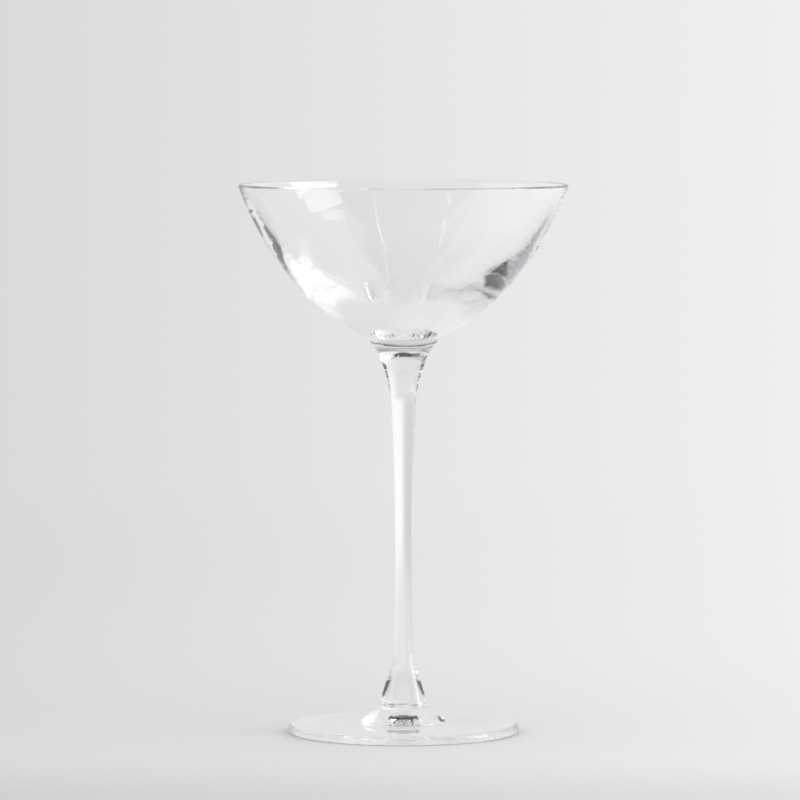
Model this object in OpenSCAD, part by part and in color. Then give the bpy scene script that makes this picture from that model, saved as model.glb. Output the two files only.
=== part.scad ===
// Stemmed cocktail glass: a blown bowl, a drawn stem and a pressed foot of clear glass.
// The three pieces meet face to face where they are fused hot.
// Origin on the table under the middle of the foot, +Z up, millimetres.

/* [Whole glass] */
// Height from the table to the top of the lip
glass_h = 165; // [150:1:185]

/* [Bowl] */
// Outside diameter across the lip
lip_d = 99; // [88:1:112]
// Thickness of the rounded lip
lip_t = 1.05; // [0.8:0.05:1.8]
// Lean of the wall below the lip, in degrees from upright
lip_lean = 18.5; // [8:0.5:28]
// Outside depth of the bowl, from the top of the lip to the rounded bottom
bowl_h = 48.5; // [42:0.5:56]
// Length of the pull that keeps the bottom round: longer is flatter
bottom_pull = 20.8; // [15:0.1:26]
// Length of the pull that keeps the wall upright below the lip: longer is fuller
wall_pull = 22.5; // [14:0.5:30]
// Thickness of the glass at the middle of the bottom
bottom_t = 5; // [3.5:0.1:6.5]
// How quickly the wall thins from the bottom to the lip: more is quicker
thinning = 1.5; // [1.2:0.1:2.5]
// Extra thickness of the heavy ring round the bottom
ring_t = 1.25; // [0.6:0.05:2]
// Share of the way from the bottom to the lip where the heavy ring is thickest
ring_ratio = 0.37; // [0.3:0.01:0.44]
// Share of that way over which the heavy ring fades out
ring_fade_ratio = 0.21; // [0.15:0.01:0.27]

/* [Stem] */
// Diameter of the cup that grips the bottom of the bowl
cup_d = 22.4; // [18:0.2:28]
// Diameter where the cup turns down into the stem
cup_neck_d = 14.4; // [11:0.2:17]
// Drop from the cup's edge to where it turns down
cup_neck_drop = 5.6; // [3:0.2:8]
// Diameter at the top of the slim part
neck_d = 7.4; // [6:0.2:10]
// Drop from the cup's edge to the top of the slim part
neck_drop = 19.5; // [14:0.5:26]
// Narrowest diameter of the stem
waist_d = 5.1; // [4:0.1:6.4]
// Height of the narrowest place above the foot's hub
waist_up = 43; // [34:1:56]
// Diameter at the bottom of the slim part
ankle_d = 6.6; // [5.6:0.2:9]
// Height of the bottom of the slim part above the foot's hub
ankle_up = 16.8; // [12:0.2:22]
// Diameter of the stem's flared end on the foot
base_d = 14.4; // [11:0.2:18]
// Radius that rounds the edge of the flared end
base_round = 1.2; // [0.6:0.1:2]
// Lean of the stem's side above that rounding, in degrees from upright
base_lean = 10; // [4:1:16]

/* [Foot] */
// Diameter of the foot
foot_d = 69.5; // [60:0.5:80]
// Thickness of the foot at its rounded edge
edge_t = 2.7; // [2:0.1:3.8]
// Thickness of the foot beside the hub
disc_t = 2.9; // [2.2:0.1:4]
// Diameter of the raised hub
hub_d = 25.8; // [22:0.2:34]
// Height of the hub's top above the table
hub_h = 7; // [6:0.1:9]
// Width of the flat shelf on the hub round the stem's end
hub_shelf = 0.4; // [0.2:0.1:1.2]
// Radius of the hollow fillet round the hub
hub_fillet = 0.7; // [0.4:0.1:1.4]
// Width of the flat ring that the glass stands on
rest_w = 2.4; // [1.5:0.1:5]
// Depth of the hollow under the foot
hollow_h = 0.9; // [0.4:0.1:1.6]
// Diameter of the small ground hollow in the middle of the underside
pontil_d = 12; // [8:0.5:16]
// Depth of the small ground hollow, beyond the hollow under the foot
pontil_h = 1.5; // [0.6:0.1:2.2]

/* [Hidden] */
$fn = 128;
// Straight steps in each curved stretch of an outline
curve_steps = 24;
wall_steps = 40;
round_steps = 8;

clear_glass = [0.86, 0.91, 0.92, 0.5];

// A vector of length 1, and a vector turned a quarter turn to the left
function unit(v) = v / norm(v);
function turned_left(v) = [-v[1], v[0]];

// A point on a cubic Bezier curve, and the curve's direction there
function bezier(p, t) =
    pow(1 - t, 3) * p[0] + 3 * t * pow(1 - t, 2) * p[1] + 3 * t * t * (1 - t) * p[2] + pow(t, 3) * p[3];
function bezier_run(p, t) =
    unit(pow(1 - t, 2) * (p[1] - p[0]) + 2 * t * (1 - t) * (p[2] - p[1]) + t * t * (p[3] - p[2]));

// Points on an arc, both ends included
function arc(centre, r, from, to) = [
    for (i = [0 : round_steps])
        let (angle = from + (to - from) * i / round_steps)
        centre + r * [cos(angle), sin(angle)]
];

// The bowl's outside, from the middle of its bottom to the lip
lip_centre = [lip_d / 2 - lip_t / 2, glass_h - lip_t / 2];
lip_run = [sin(lip_lean), cos(lip_lean)];
lip_outside = lip_centre - lip_t / 2 * turned_left(lip_run);
bottom_z = glass_h - bowl_h;
bowl_outside = [[0, bottom_z], [bottom_pull, bottom_z], lip_outside - wall_pull * lip_run, lip_outside];

// The wall's thickness along the bowl: a taper from the bottom to the lip, and the heavy ring on it
function wall_t(t) =
    lip_t
    + (bottom_t - lip_t) * pow(1 - t * t, thinning)
    + ring_t * exp(-pow((t - ring_ratio) / ring_fade_ratio, 2));
function bowl_inside(t) = bezier(bowl_outside, t) + wall_t(t) * turned_left(bezier_run(bowl_outside, t));

// Where along the bowl's outside it reaches a radius, by halving
function bowl_reach(r, low = 0, high = 1, halvings = 40) =
    let (middle = (low + high) / 2)
    halvings == 0 ? middle
    : bezier(bowl_outside, middle)[0] < r ? bowl_reach(r, middle, high, halvings - 1)
    : bowl_reach(r, low, middle, halvings - 1);

// The fused face that the bowl and the stem share, from the axis to the cup's edge
cup_reach = bowl_reach(cup_d / 2);
cup_face = [for (i = [0 : curve_steps]) bezier(bowl_outside, cup_reach * i / curve_steps)];
cup_z = cup_face[curve_steps][1];

// The rounding of the stem's flared end, up to where the stem's side takes over
base_edge = arc([base_d / 2 - base_round, hub_h + base_round], base_round, -90, base_lean);

// Heights and radii that the stem's side passes through, from the foot up
stem_stations = [
    [base_edge[round_steps][1], base_edge[round_steps][0]],
    [hub_h + ankle_up, ankle_d / 2],
    [hub_h + waist_up, waist_d / 2],
    [cup_z - neck_drop, neck_d / 2],
    [cup_z - cup_neck_drop, cup_neck_d / 2],
    [cup_z, cup_d / 2]
];
last_span = len(stem_stations) - 2;

// How fast the radius changes in the span above a station, and at the station itself.
// The top end takes the slope of a parabola.
function span_slope(i) =
    (stem_stations[i + 1][1] - stem_stations[i][1]) / (stem_stations[i + 1][0] - stem_stations[i][0]);
function station_slope(i) =
    i == 0 ? -tan(base_lean)
    : i > last_span ? 1.5 * span_slope(last_span) - 0.5 * station_slope(last_span)
    : span_slope(i - 1) * span_slope(i) <= 0 ? 0
    : 2 * span_slope(i - 1) * span_slope(i) / (span_slope(i - 1) + span_slope(i));

// The stem's side between two stations, a smooth cubic that never bulges past them
function stem_side(i, u) =
    let (low = stem_stations[i], high = stem_stations[i + 1], h = high[0] - low[0])
    [
        low[1] * (1 + 2 * u) * pow(1 - u, 2) + high[1] * u * u * (3 - 2 * u)
            + h * (station_slope(i) * u * pow(1 - u, 2) - station_slope(i + 1) * u * u * (1 - u)),
        low[0] + u * h
    ];

// The hub's domed side, from its shelf down to the fillet, and how full the dome is:
// shares of its width and height to the points that pull it outwards
dome_top_pull = [0.3, 0.24];
dome_side_pull = [0.11, 0.24];
shelf_r = base_d / 2 + hub_shelf;
dome_foot = [hub_d / 2, disc_t + hub_fillet];
dome_w = dome_foot[0] - shelf_r;
dome_h = hub_h - dome_foot[1];
hub_side = [
    [shelf_r, hub_h],
    [shelf_r + dome_w * dome_top_pull[0], hub_h - dome_h * dome_top_pull[1]],
    [dome_foot[0] - dome_w * dome_side_pull[0], dome_foot[1] + dome_h * dome_side_pull[1]],
    dome_foot
];
edge_centre = [foot_d / 2 - edge_t / 2, edge_t / 2];
rest_r = edge_centre[0] - rest_w;

// The foot's underside at a radius: a wide shallow hollow and, in its middle, the ground one
function underside(r) = [
    r,
    hollow_h * (1 - pow(r / rest_r, 2)) + pontil_h * max(0, 1 - pow(2 * r / pontil_d, 2))
];

module bowl() {
    wall_outside = [
        for (i = [1 : wall_steps - 1])
            bezier(bowl_outside, cup_reach + (1 - cup_reach) * i / wall_steps)
    ];
    lip = arc(lip_centre, lip_t / 2, -lip_lean, 180 - lip_lean);
    wall_inside = [for (i = [wall_steps - 1 : -1 : 0]) bowl_inside(i / wall_steps)];
    color(clear_glass)
        rotate_extrude()
            polygon(concat(cup_face, wall_outside, lip, wall_inside));
}

module stem() {
    side = [for (i = [0 : last_span], k = [1 : curve_steps]) stem_side(i, k / curve_steps)];
    seat = [for (i = [curve_steps - 1 : -1 : 0]) cup_face[i]];
    color(clear_glass)
        rotate_extrude()
            polygon(concat([[0, hub_h]], base_edge, side, seat));
}

module foot() {
    pontil = [for (i = [0 : round_steps - 1]) underside(pontil_d / 2 * i / round_steps)];
    hollow = [
        for (i = [0 : curve_steps])
            underside(pontil_d / 2 + (rest_r - pontil_d / 2) * i / curve_steps)
    ];
    edge = arc(edge_centre, edge_t / 2, -90, 90);
    fillet = arc(dome_foot + [hub_fillet, 0], hub_fillet, 270, 180);
    dome = [for (i = [curve_steps - 1 : -1 : 0]) bezier(hub_side, i / curve_steps)];
    color(clear_glass)
        rotate_extrude()
            polygon(concat(pontil, hollow, edge, fillet, dome, [[0, hub_h]]));
}

bowl();
stem();
foot();
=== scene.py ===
import math

import bpy
import numpy as np
from mathutils import Matrix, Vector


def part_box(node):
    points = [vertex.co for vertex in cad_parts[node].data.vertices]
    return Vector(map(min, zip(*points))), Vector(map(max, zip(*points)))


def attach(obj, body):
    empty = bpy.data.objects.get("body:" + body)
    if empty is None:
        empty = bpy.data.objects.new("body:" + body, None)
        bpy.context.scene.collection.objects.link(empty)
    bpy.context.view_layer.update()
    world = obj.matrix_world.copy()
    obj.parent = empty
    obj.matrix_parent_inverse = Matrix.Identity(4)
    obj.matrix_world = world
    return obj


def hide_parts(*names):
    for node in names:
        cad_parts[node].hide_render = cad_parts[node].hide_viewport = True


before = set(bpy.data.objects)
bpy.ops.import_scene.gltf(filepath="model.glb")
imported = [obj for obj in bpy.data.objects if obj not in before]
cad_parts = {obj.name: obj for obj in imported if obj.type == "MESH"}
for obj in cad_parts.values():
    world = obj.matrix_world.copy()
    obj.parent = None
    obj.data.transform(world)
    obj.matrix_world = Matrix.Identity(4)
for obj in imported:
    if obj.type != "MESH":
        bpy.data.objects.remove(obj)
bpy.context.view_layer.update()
scene = bpy.context.scene
mm = 0.001

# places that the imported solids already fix
bowlLow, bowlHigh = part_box("bowl")
stemLow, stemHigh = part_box("stem")
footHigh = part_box("foot")[1]
print("frame loaded, glass", round(bowlHigh.z / mm, 1), "mm tall")


# shader maths: a socket that takes part in Python expressions
class Wire:
    def __init__(self, tree, socket=None):
        self.tree = tree
        self.socket = socket

    # any node: settings by name, inputs by name or as i0, i1 and so on, and the output to go on from
    def node(self, kind, settings=None, out=0, **inputs):
        made = self.tree.nodes.new(kind)
        for key, value in (settings or {}).items():
            setattr(made, key, value)
        for key, value in inputs.items():
            place = int(key[1:]) if key[1:].isdigit() else key.replace("_", " ")
            plug(self.tree, made.inputs[place], value)
        return Wire(self.tree, made.outputs[out])

    def math(self, operation, *values):
        inputs = {f"i{n}": value for n, value in enumerate(values)}
        return self.node("ShaderNodeMath", {"operation": operation}, **inputs)

    def __add__(self, other):
        return self.math("ADD", self, other)

    def __radd__(self, other):
        return self.math("ADD", other, self)

    def __sub__(self, other):
        return self.math("SUBTRACT", self, other)

    def __rsub__(self, other):
        return self.math("SUBTRACT", other, self)

    def __mul__(self, other):
        return self.math("MULTIPLY", self, other)

    def __rmul__(self, other):
        return self.math("MULTIPLY", other, self)

    # the three parts of a place or direction
    def parts(self):
        return [self.node("ShaderNodeSeparateXYZ", out=n, i0=self) for n in range(3)]

    # 0 below low, 1 above high, smooth between
    def ramp(self, low, high):
        settings = {"interpolation_type": "SMOOTHSTEP"}
        return self.node("ShaderNodeMapRange", settings, Value=self, From_Min=low, From_Max=high)

    # 1 between low and high, 0 outside, with soft borders
    def between(self, low, high, soft):
        return self.ramp(low - soft, low + soft) * (1 - self.ramp(high - soft, high + soft))

    # this value picks between two colours: 0 gives the first, 1 the second
    def pick(self, colourA, colourB):
        return self.node("ShaderNodeMix", {"data_type": "RGBA"}, out=2, i0=self, i6=colourA, i7=colourB)


# a link or a plain value into an input
def plug(tree, spot, value):
    if isinstance(value, Wire):
        tree.links.new(value.socket, spot)
    else:
        spot.default_value = value


# cubic Bezier from the first to the last of four (radius, height) points, pulled by the two between:
# (1-t)^3 p0 + 3t(1-t)^2 p1 + 3t^2(1-t) p2 + t^3 p3
def bezier(points, t):
    t = np.asarray(t)[:, None]
    p = np.asarray(points)
    return (1 - t) ** 3 * p[0] + 3 * t * (1 - t) ** 2 * p[1] + 3 * t ** 2 * (1 - t) * p[2] + t ** 3 * p[3]


# its direction, as vectors of length 1
def bezierRun(points, t):
    t = np.asarray(t)[:, None]
    p = np.asarray(points)
    run = (1 - t) ** 2 * (p[1] - p[0]) + 2 * t * (1 - t) * (p[2] - p[1]) + t ** 2 * (p[3] - p[2])
    return run / np.linalg.norm(run, axis=1, keepdims=True)


# points on a circle round centre, both ends included
def arc(centre, radius, fromDeg, toDeg, steps):
    angle = np.radians(np.linspace(fromDeg, toDeg, steps + 1))
    return np.asarray(centre) + radius * np.stack([np.cos(angle), np.sin(angle)], 1)


# points along a level line, both ends included
def levelLine(fromRadius, toRadius, height, steps):
    return np.stack([np.linspace(fromRadius, toRadius, steps + 1), np.full(steps + 1, height)], 1)


# vectors turned a quarter turn to the left
def turnedLeft(v):
    return np.stack([-v[..., 1], v[..., 0]], -1)


aroundSteps = 320  # faces round each piece
clearSlot = 0
fusedSlot = 1


# the outline turned round the Z axis: point (radius, height) at angle a goes to
# (radius cos a, radius sin a, height); its two ends lie on the axis and close the poles
def turnOutline(name, outline, bandSlots, sharpRings):
    rings = outline[1:-1]
    angle = np.linspace(0, 2 * np.pi, aroundSteps, endpoint=False)
    x = rings[:, :1] * np.cos(angle)
    y = rings[:, :1] * np.sin(angle)
    height = rings[:, 1:] * np.ones(aroundSteps)
    points = np.stack([x, y, height], -1).reshape(-1, 3)
    poles = np.array([[0, 0, outline[0, 1]], [0, 0, outline[-1, 1]]])
    points = np.concatenate([points, poles])
    index = np.arange(len(rings) * aroundSteps).reshape(len(rings), aroundSteps)
    turned = np.roll(index, -1, axis=1)
    bands = np.stack([index[:-1], turned[:-1], turned[1:], index[1:]], -1).reshape(-1, 4)
    firstPole = index.size
    lowFan = np.stack([np.full(aroundSteps, firstPole), turned[0], index[0]], -1)
    highFan = np.stack([np.full(aroundSteps, firstPole + 1), index[-1], turned[-1]], -1)
    mesh = bpy.data.meshes.new(name)
    mesh.from_pydata(points, [], lowFan.tolist() + bands.tolist() + highFan.tolist())
    slots = np.repeat(bandSlots, aroundSteps)
    mesh.polygons.foreach_set("material_index", slots.astype(np.int32))
    mesh.polygons.foreach_set("use_smooth", np.ones(len(slots), bool))
    ends = np.zeros(len(mesh.edges) * 2, np.int32)
    mesh.edges.foreach_get("vertices", ends)
    ends = ends.reshape(-1, 2)
    ringOf = ends // aroundSteps
    alongRing = (ringOf[:, 0] == ringOf[:, 1]) & (ends < firstPole).all(1)
    sharp = mesh.attributes.new("sharp_edge", "BOOLEAN", "EDGE")
    sharp.data.foreach_set("value", alongRing & np.isin(ringOf[:, 0], sharpRings))
    mesh.update()
    piece = bpy.data.objects.new(name, mesh)
    scene.collection.objects.link(piece)
    return piece


# finishes; the heavy lower bowl fades in from heavyFrom to heavyFull and out from fadeFrom to fadeEnd
crystalLook = {
    "tint": (0.998, 1, 0.999, 1),
    "ior": 1.52,
    "heavyFrom": 118 * mm,
    "heavyFull": 126 * mm,
    "fadeFrom": 138 * mm,
    "fadeEnd": 150 * mm,
    "softest": 0.035,
    "rippleWide": 16 * mm,
    "rippleDeep": 0.3 * mm,
}


# fire-polished glass: in the heavy lower bowl a touch softer, with slow ripples left by blowing
def crystalFinish():
    look = crystalLook
    material = bpy.data.materials.new("clearCrystal")
    material.use_nodes = True
    tree = material.node_tree
    shader = tree.nodes["Principled BSDF"]
    shader.inputs["Base Color"].default_value = look["tint"]
    shader.inputs["Transmission Weight"].default_value = 1
    shader.inputs["IOR"].default_value = look["ior"]
    start = Wire(tree)
    place = start.node("ShaderNodeTexCoord", out="Object")
    up = place.parts()[2]
    heavy = 1 - up.ramp(look["fadeFrom"], look["fadeEnd"])
    heavy = heavy * up.ramp(look["heavyFrom"], look["heavyFull"])
    plug(tree, shader.inputs["Roughness"], heavy * look["softest"])
    ripple = start.node("ShaderNodeTexNoise", Vector=place, Scale=1 / look["rippleWide"], Detail=1.0)
    bump = start.node("ShaderNodeBump", Height=ripple * heavy, Strength=1.0, Distance=look["rippleDeep"])
    plug(tree, shader.inputs["Normal"], bump)
    return material


# where two pieces are fused there's no surface left to see
def fusedFinish():
    material = bpy.data.materials.new("fusedSeam")
    material.use_nodes = True
    tree = material.node_tree
    clear = Wire(tree).node("ShaderNodeBsdfTransparent")
    plug(tree, tree.nodes["Material Output"].inputs["Surface"], clear)
    tree.nodes.remove(tree.nodes["Principled BSDF"])
    return material


crystal = crystalFinish()
fused = fusedFinish()
print("finishes made")

# bowl: a thin lip over a wall that swells into a heavy ring round the bottom
bowlLook = {
    "lipThick": 1.05 * mm,
    "lipLeanDeg": 18.5,
    "bottomPull": 20.8 * mm,
    "wallPull": 22.5 * mm,
    "bottomThick": 5 * mm,
    "thinning": 1.5,
    "ringThick": 1.25 * mm,
    "ringAt": 0.37,
    "ringFade": 0.21,
    "seamSteps": 40,
    "wallSteps": 110,
    "lipSteps": 16,
    "hollowSteps": 130,
}
cupRadius = max(stemHigh.x, stemHigh.y)
reachSteps = 20000  # how finely a radius is looked up along the bowl


# the bowl's outside, one cubic curve from the axis up to the lip, and the middle of the lip
def bowlCurve():
    look = bowlLook
    lean = math.radians(look["lipLeanDeg"])
    lipRun = np.array([math.sin(lean), math.cos(lean)])
    half = look["lipThick"] / 2
    lipRadius = min(bowlHigh.x, bowlHigh.y, -bowlLow.x, -bowlLow.y)
    lipCentre = np.array([lipRadius - half, bowlHigh.z - half])
    lipOut = lipCentre - half * turnedLeft(lipRun)
    bottom = [0, bowlLow.z]
    bottomPull = [look["bottomPull"], bowlLow.z]
    wallPull = lipOut - look["wallPull"] * lipRun
    return np.array([bottom, bottomPull, wallPull, lipOut]), lipCentre


# where along the outside a radius is reached
def curveReach(curve, radius):
    t = np.linspace(0, 1, reachSteps + 1)
    return float(np.interp(radius, bezier(curve, t)[:, 0], t))


# the fused face that bowl and stem share, from the axis out to the cup's edge
def seamLine():
    outside = bowlCurve()[0]
    return bezier(outside, np.linspace(0, curveReach(outside, cupRadius), bowlLook["seamSteps"] + 1))


# inside, from the lip down: the outside moved inwards by the wall's thickness, which tapers from
# the bottom to the lip and has a bell-shaped heavy ring on it
def bowlHollow():
    look = bowlLook
    outside = bowlCurve()[0]
    t = np.linspace(1, 0, look["hollowSteps"] + 1)
    thick = look["lipThick"] + (look["bottomThick"] - look["lipThick"]) * (1 - t ** 2) ** look["thinning"]
    thick = thick + look["ringThick"] * np.exp(-((t - look["ringAt"]) / look["ringFade"]) ** 2)
    inside = bezier(outside, t) + thick[:, None] * turnedLeft(bezierRun(outside, t))
    inside[-1, 0] = 0
    return inside


# the seam from the axis out, the wall up to the lip, half a circle over the lip, and the inside down
def makeBowl():
    look = bowlLook
    outside, lipCentre = bowlCurve()
    lean = look["lipLeanDeg"]
    wall = bezier(outside, np.linspace(curveReach(outside, cupRadius), 1, look["wallSteps"] + 1))[1:-1]
    lip = arc(lipCentre, look["lipThick"] / 2, -lean, 180 - lean, look["lipSteps"])
    outline = np.concatenate([seamLine(), wall, lip, bowlHollow()[1:]])
    band = np.arange(len(outline) - 1)
    bandSlots = np.where(band < look["seamSteps"], fusedSlot, clearSlot)
    return turnOutline("bowl_glass", outline, bandSlots, [])


bowl = makeBowl()
print("bowl made,", len(bowl.data.polygons), "faces")

# stem: a drawn rod, flared into a cup under the bowl and flared again on the hub
stemLook = {
    "baseWide": 14.4 * mm,
    "baseRound": 1.2 * mm,
    "baseLeanDeg": 10,
    "ankleWide": 6.6 * mm,
    "ankleUp": 16.8 * mm,
    "waistWide": 5.1 * mm,
    "waistUp": 43 * mm,
    "neckWide": 7.4 * mm,
    "neckDrop": 19.5 * mm,
    "cupNeckWide": 14.4 * mm,
    "cupNeckDrop": 5.6 * mm,
    "discSteps": 24,
    "roundSteps": 16,
    "sideSteps": 44,
}


# the stem's side: a cubic between stations, with slopes that never bulge past them;
# the slope at the top end is that of a parabola
def stemSide(stations, lowSlope):
    z, r = np.asarray(stations).T
    span = np.diff(r) / np.diff(z)
    slope = np.zeros(len(z))
    both = span[:-1] * span[1:]
    slope[1:-1] = np.where(both > 0, 2 * both / np.where(both > 0, span[:-1] + span[1:], 1), 0)
    slope[0] = lowSlope
    slope[-1] = 1.5 * span[-1] - 0.5 * slope[-2]
    u = np.linspace(0, 1, stemLook["sideSteps"] + 1)[1:]
    h = np.diff(z)[:, None]
    side = (
        r[:-1, None] * (1 + 2 * u) * (1 - u) ** 2
        + r[1:, None] * u ** 2 * (3 - 2 * u)
        + h * (slope[:-1, None] * u * (1 - u) ** 2 - slope[1:, None] * u ** 2 * (1 - u))
    )
    return np.stack([side.ravel(), (z[:-1, None] + u * h).ravel()], 1)


# the flat end from the axis out, its rounded edge, the side up to the cup, and the seam back to the axis
def makeStem():
    look = stemLook
    hub = stemLow.z
    seam = seamLine()
    roundCentre = np.array([look["baseWide"] / 2 - look["baseRound"], hub + look["baseRound"]])
    disc = levelLine(0, roundCentre[0], hub, look["discSteps"])
    edge = arc(roundCentre, look["baseRound"], -90, look["baseLeanDeg"], look["roundSteps"])[1:]
    stations = [
        (edge[-1, 1], edge[-1, 0]),
        (hub + look["ankleUp"], look["ankleWide"] / 2),
        (hub + look["waistUp"], look["waistWide"] / 2),
        (stemHigh.z - look["neckDrop"], look["neckWide"] / 2),
        (stemHigh.z - look["cupNeckDrop"], look["cupNeckWide"] / 2),
        (seam[-1, 1], seam[-1, 0]),
    ]
    side = stemSide(stations, -math.tan(math.radians(look["baseLeanDeg"])))
    outline = np.concatenate([disc, edge, side, seam[-2::-1]])
    band = np.arange(len(outline) - 1)
    firstSeam = len(band) - bowlLook["seamSteps"]
    bandSlots = np.where((band < look["discSteps"]) | (band >= firstSeam), fusedSlot, clearSlot)
    return turnOutline("stem_glass", outline, bandSlots, [look["discSteps"] - 1, firstSeam - 1])


stem = makeStem()
print("stem made,", len(stem.data.polygons), "faces")

# foot: a pressed disc with a domed hub, hollow underneath
footLook = {
    "edgeThick": 2.7 * mm,
    "discThick": 2.9 * mm,
    "hubWide": 25.8 * mm,
    "hubShelf": 0.4 * mm,
    "hubFillet": 0.7 * mm,
    "restWide": 2.4 * mm,
    "hollowDeep": 0.9 * mm,
    "pontilWide": 12 * mm,
    "pontilDeep": 1.5 * mm,
    "domeTop": (0.3, 0.24),
    "domeSide": (0.11, 0.24),
    "pontilSteps": 24,
    "hollowSteps": 50,
    "restSteps": 6,
    "edgeSteps": 28,
    "topSteps": 24,
    "filletSteps": 12,
    "domeSteps": 40,
    "shelfSteps": 8,
    "seatSteps": 24,
}


# underside: a wide shallow parabola and, in its middle, the small ground one
def footHollow(restIn):
    look = footLook
    pontil = look["pontilWide"] / 2
    inner = np.linspace(0, pontil, look["pontilSteps"] + 1)
    outer = np.linspace(pontil, restIn, look["hollowSteps"] + 1)[1:]
    r = np.concatenate([inner, outer])
    z = look["hollowDeep"] * (1 - (r / restIn) ** 2)
    z = z + look["pontilDeep"] * np.clip(1 - (r / pontil) ** 2, 0, 1)
    return np.stack([r, z], 1)


# the hub's side from the fillet up to the shelf, one cubic curve
def hubDome(domeFoot, shelf, hub):
    look = footLook
    wide = domeFoot[0] - shelf
    high = hub - domeFoot[1]
    pulls = [
        [shelf, hub],
        [shelf + wide * look["domeTop"][0], hub - high * look["domeTop"][1]],
        [domeFoot[0] - wide * look["domeSide"][0], domeFoot[1] + high * look["domeSide"][1]],
        domeFoot,
    ]
    return bezier(pulls, np.linspace(1, 0, look["domeSteps"] + 1))[1:]


# the underside from the axis out, the rest ring, half a circle round the edge, the top in to the
# fillet, the hub's dome, its shelf, and the seat under the stem back to the axis
def makeFoot():
    look = footLook
    hub = footHigh.z
    half = look["edgeThick"] / 2
    edgeCentre = np.array([max(footHigh.x, footHigh.y) - half, half])
    restIn = edgeCentre[0] - look["restWide"]
    rest = levelLine(restIn, edgeCentre[0], 0, look["restSteps"])[1:-1]
    edge = arc(edgeCentre, half, -90, 90, look["edgeSteps"])
    domeFoot = np.array([look["hubWide"] / 2, look["discThick"] + look["hubFillet"]])
    filletCentre = domeFoot + [look["hubFillet"], 0]
    fillet = arc(filletCentre, look["hubFillet"], 270, 180, look["filletSteps"])
    top = np.linspace(edge[-1], fillet[0], look["topSteps"] + 1)[1:-1]
    shelfOut = stemLook["baseWide"] / 2 + look["hubShelf"]
    dome = hubDome(domeFoot, shelfOut, hub)
    seatOut = stemLook["baseWide"] / 2 - stemLook["baseRound"]
    shelf = levelLine(shelfOut, seatOut, hub, look["shelfSteps"])[1:]
    seat = levelLine(seatOut, 0, hub, look["seatSteps"])[1:]
    outline = np.concatenate([footHollow(restIn), rest, edge, top, fillet, dome, shelf, seat])
    band = np.arange(len(outline) - 1)
    bandSlots = np.where(band >= len(band) - look["seatSteps"], fusedSlot, clearSlot)
    return turnOutline("foot_glass", outline, bandSlots, [look["pontilSteps"] - 1])


foot = makeFoot()
print("foot made,", len(foot.data.polygons), "faces")

for piece, node in ((bowl, "bowl"), (stem, "stem"), (foot, "foot")):
    piece.data.materials.append(crystal)
    piece.data.materials.append(fused)
    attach(piece, "root")
    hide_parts(node)

# camera, where the photograph was taken from
cameraLook = {
    "x": -1.05 * mm,
    "back": 1790 * mm,
    "up": 216 * mm,
    "aimUp": 100.2 * mm,
    "fovDeg": 7.66,
    "seesTo": 50,
}
camera = bpy.data.objects.new("camera", bpy.data.cameras.new("camera"))
scene.collection.objects.link(camera)
camera.location = (cameraLook["x"], -cameraLook["back"], cameraLook["up"])
pitch = math.atan2(cameraLook["up"] - cameraLook["aimUp"], cameraLook["back"])
camera.rotation_euler = (math.pi / 2 - pitch, 0, 0)
camera.data.angle = math.radians(cameraLook["fovDeg"])
camera.data.clip_end = cameraLook["seesTo"]
scene.camera = camera
print("camera placed")

# studio: pale all round, brighter to the right; heights and sides are parts of a direction of length 1
studioLook = {
    "middle": 0.787,
    "swing": 0.18,
    "steep": 7.2,
    "light": 0.905,
    "through": 1.04,
    "horizonFrom": -0.05,
    "horizonTo": 0.12,
    "high": 0.76,
    "highRight": 0.34,
    "rightFrom": 0.1,
    "rightTo": 0.9,
}


# the pale level at a place or direction so far to the right, painted brighter towards the lamps on the
# right: painted light on the floor and the backdrop
def paintedLightSweep(right):
    steep = right * studioLook["steep"]
    return studioLook["middle"] + studioLook["swing"] * steep.math("TANH", steep)


# 1 for what the camera sees directly, and 1 for what shows in the glass
def seenRays(start):
    byCamera = start.node("ShaderNodeLightPath", out="Is Camera Ray")
    glossy = start.node("ShaderNodeLightPath", out="Is Glossy Ray")
    through = start.node("ShaderNodeLightPath", out="Is Transmission Ray")
    return byCamera, glossy.math("MAXIMUM", glossy, through)


# floor: a wide pale sheet, a hair below the foot, that fades into the surround; its colour is painted
# light, brighter towards the lamps on the right, and darker towards the front; the glass sees it evenly
# lit
floorLook = {
    "gap": 0.05 * mm,
    "radius": 6.0,
    "rings": 32,
    "around": 96,
    "rough": 0.9,
    "fadeFrom": 0.3,
    "fadeTo": 1.0,
    "reach": 2.45,
    "frontFrom": -0.055,
    "frontTo": -0.17,
    "frontLevel": 0.87,
}


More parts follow.
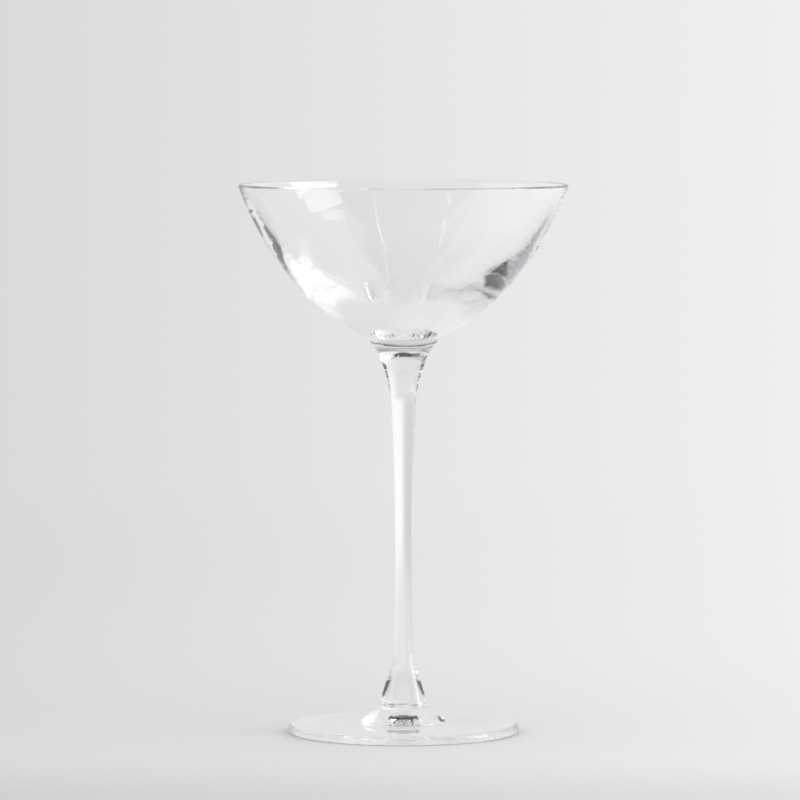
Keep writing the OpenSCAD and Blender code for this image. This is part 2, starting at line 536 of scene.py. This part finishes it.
def floorFinish():
    look = floorLook
    material = bpy.data.materials.new("paleFloorPaintedLight")
    material.use_nodes = True
    tree = material.node_tree
    shader = tree.nodes["Principled BSDF"]
    shader.inputs["Roughness"].default_value = look["rough"]
    shader.inputs["Specular IOR Level"].default_value = 0
    start = Wire(tree)
    place = start.node("ShaderNodeTexCoord", out="Object")
    right, depth = place.parts()[:2]
    behind = depth.ramp(look["frontTo"], look["frontFrom"])
    # painted light: the floor's colour is made brighter towards the lamps on the right, and darker
    # towards the front
    paleWithPaintedLight = paintedLightSweep(right * (1 / look["reach"]))
    paleWithPaintedLight = paleWithPaintedLight * (look["frontLevel"] + behind * (1 - look["frontLevel"]))
    plug(tree, shader.inputs["Base Color"], paleWithPaintedLight)
    glow = start.node("ShaderNodeEmission", Color=paleWithPaintedLight, Strength=1.0)
    inGlass = seenRays(start)[1]
    seen = start.node("ShaderNodeMixShader", i0=inGlass, i1=Wire(tree, shader.outputs[0]), i2=glow)
    far = start.node("ShaderNodeVectorMath", {"operation": "LENGTH"}, out="Value", i0=place)
    fade = far.ramp(look["fadeFrom"], look["fadeTo"])
    clear = start.node("ShaderNodeBsdfTransparent")
    blend = start.node("ShaderNodeMixShader", i0=fade, i1=seen, i2=clear)
    plug(tree, tree.nodes["Material Output"].inputs["Surface"], blend)
    return material


# a disc: ring u at angle a is at (radius u^2 cos a, radius u^2 sin a), so rings are closest in the middle
def makeFloor():
    look = floorLook
    ringCount = look["rings"]
    around = look["around"]
    radius = look["radius"] * np.linspace(0, 1, ringCount + 1)[1:, None] ** 2
    angle = np.linspace(0, 2 * np.pi, around, endpoint=False)
    x = radius * np.cos(angle)
    y = radius * np.sin(angle)
    rings = np.stack([x, y, np.full(x.shape, -look["gap"])], -1).reshape(-1, 3)
    points = np.concatenate([rings, [[0, 0, -look["gap"]]]])
    index = np.arange(ringCount * around).reshape(ringCount, around)
    turned = np.roll(index, -1, axis=1)
    quads = np.stack([index[:-1], index[1:], turned[1:], turned[:-1]], -1).reshape(-1, 4)
    fan = np.stack([np.full(around, index.size), index[0], turned[0]], -1)
    mesh = bpy.data.meshes.new("floor")
    mesh.from_pydata(points, [], quads.tolist() + fan.tolist())
    mesh.materials.append(floorFinish())
    made = bpy.data.objects.new("floor", mesh)
    scene.collection.objects.link(made)


makeFloor()
print("floor laid")

# dark and bright things that the glass shows: middle and half width in degrees round from the right,
# bottom, top and soft border in degrees above the horizon
shades = {
    "cupboard": {
        "middle": 214, "half": 25, "low": -5, "top": 13, "soft": 4,
        "colour": (0.28, 0.3, 0.33, 1),
    },
    "doorway": {
        "middle": 173, "half": 17, "low": -1, "top": 20, "soft": 3,
        "colour": (0.015, 0.018, 0.022, 1),
    },
    "sill": {
        "middle": 346, "half": 13, "low": -6, "top": 8, "soft": 3,
        "colour": (1.5, 1.5, 1.5, 1),
    },
    "curtain": {
        "middle": 312, "half": 11, "low": -5, "top": 50, "soft": 3,
        "colour": (0.05, 0.065, 0.085, 1),
    },
    "front": {
        "middle": 270, "half": 64, "low": 20, "top": 95, "soft": 4,
        "colour": (0.03, 0.033, 0.038, 1),
    },
    "corner": {
        "middle": 165, "half": 32, "low": 46, "top": 95, "soft": 5,
        "colour": (0.2, 0.2, 0.21, 1),
    },
    "ceiling": {
        "middle": 90, "half": 200, "low": 68, "top": 95, "soft": 4,
        "colour": (0.06, 0.06, 0.065, 1),
    },
}


# surround: the camera sees the pale sweep, the glass sees a pale room with the shades in it, and
# matt surfaces get one even light
def makeSurround():
    look = studioLook
    world = bpy.data.worlds.new("studio")
    scene.world = world
    world.use_nodes = True
    tree = world.node_tree
    back = tree.nodes["Background"]
    start = Wire(tree)
    right, depth, up = start.node("ShaderNodeTexCoord", out="Generated").parts()
    # the backdrop the camera sees, painted brighter towards the lamps on the right
    sweep = paintedLightSweep(right)
    high = look["high"] + look["highRight"] * right.ramp(look["rightFrom"], look["rightTo"])
    room = up.ramp(look["horizonFrom"], look["horizonTo"]).pick(sweep * look["through"], high)
    rise = up.math("ARCSINE", up) * math.degrees(1)
    for shade in shades.values():
        middle = math.radians(shade["middle"])
        ahead = right * math.cos(middle) + depth * math.sin(middle)
        across = depth * math.cos(middle) - right * math.sin(middle)
        turn = across.math("ARCTAN2", across, ahead) * math.degrees(1)
        inside = turn.between(-shade["half"], shade["half"], shade["soft"])
        inside = inside * rise.between(shade["low"], shade["top"], shade["soft"])
        room = inside.pick(room, shade["colour"])
    byCamera, inGlass = seenRays(start)
    light = look["light"]
    lit = byCamera.pick((light, light, light, 1), sweep)
    plug(tree, back.inputs["Color"], inGlass.pick(lit, room))
    back.inputs["Strength"].default_value = 1


makeSurround()
print("surround made,", len(shades), "shades")

# tall window on the right, a bright upper pane with a dim one beside it and a low one down to the
# horizon, and two warm tubes under the ceiling; each hangs in a direction from the bowl and faces it
daylight = (1, 1, 1)
tubeWarmth = (1, 0.88, 0.66)
lampLook = {
    "bright": {
        "sideDeg": -16, "upDeg": 32.5, "rollDeg": 76, "far": 1.9,
        "wide": 0.27, "tall": 1.05, "glare": 3.0, "colour": daylight,
    },
    "dim": {
        "sideDeg": -17, "upDeg": 39.5, "rollDeg": 68, "far": 1.9,
        "wide": 0.13, "tall": 0.66, "glare": 1.9, "colour": daylight,
    },
    "low": {
        "sideDeg": -4, "upDeg": 11, "rollDeg": 0, "far": 1.9,
        "wide": 0.55, "tall": 1.1, "glare": 3.8, "colour": daylight,
    },
    "tube": {
        "sideDeg": -46, "upDeg": 68, "rollDeg": -30, "far": 2.2,
        "wide": 0.05, "tall": 1.5, "glare": 1.9, "colour": tubeWarmth,
    },
    "farTube": {
        "sideDeg": -139, "upDeg": 52.5, "rollDeg": 42, "far": 2.2,
        "wide": 0.06, "tall": 0.36, "glare": 2.2, "colour": tubeWarmth,
    },
}


# a lamp's energy is its glare times pi times its area; the camera doesn't see the lamps themselves
def makeLamps():
    for name, look in lampLook.items():
        turn, rise, roll = [math.radians(look[key]) for key in ("sideDeg", "upDeg", "rollDeg")]
        lamp = bpy.data.lights.new(name, "AREA")
        lamp.shape = "RECTANGLE"
        lamp.size = look["wide"]
        lamp.size_y = look["tall"]
        lamp.color = look["colour"]
        lamp.energy = look["glare"] * math.pi * lamp.size * lamp.size_y
        made = bpy.data.objects.new(name, lamp)
        flat = look["far"] * math.cos(rise)
        height = bowlHigh.z + look["far"] * math.sin(rise)
        made.location = (flat * math.cos(turn), flat * math.sin(turn), height)
        facing = Matrix.Rotation(turn + math.pi / 2, 3, "Z") @ Matrix.Rotation(math.pi / 2 - rise, 3, "X")
        made.rotation_euler = (facing @ Matrix.Rotation(roll, 3, "Z")).to_euler()
        made.visible_camera = False
        scene.collection.objects.link(made)


makeLamps()
print("lamps hung,", len(lampLook))

# light crosses many walls of clear glass before it gets out
bounces = 48
scene.cycles.max_bounces = bounces
scene.cycles.transmission_bounces = bounces
scene.cycles.glossy_bounces = bounces
scene.cycles.transparent_max_bounces = bounces
scene.view_settings.view_transform = "Standard"

print("scene ready")
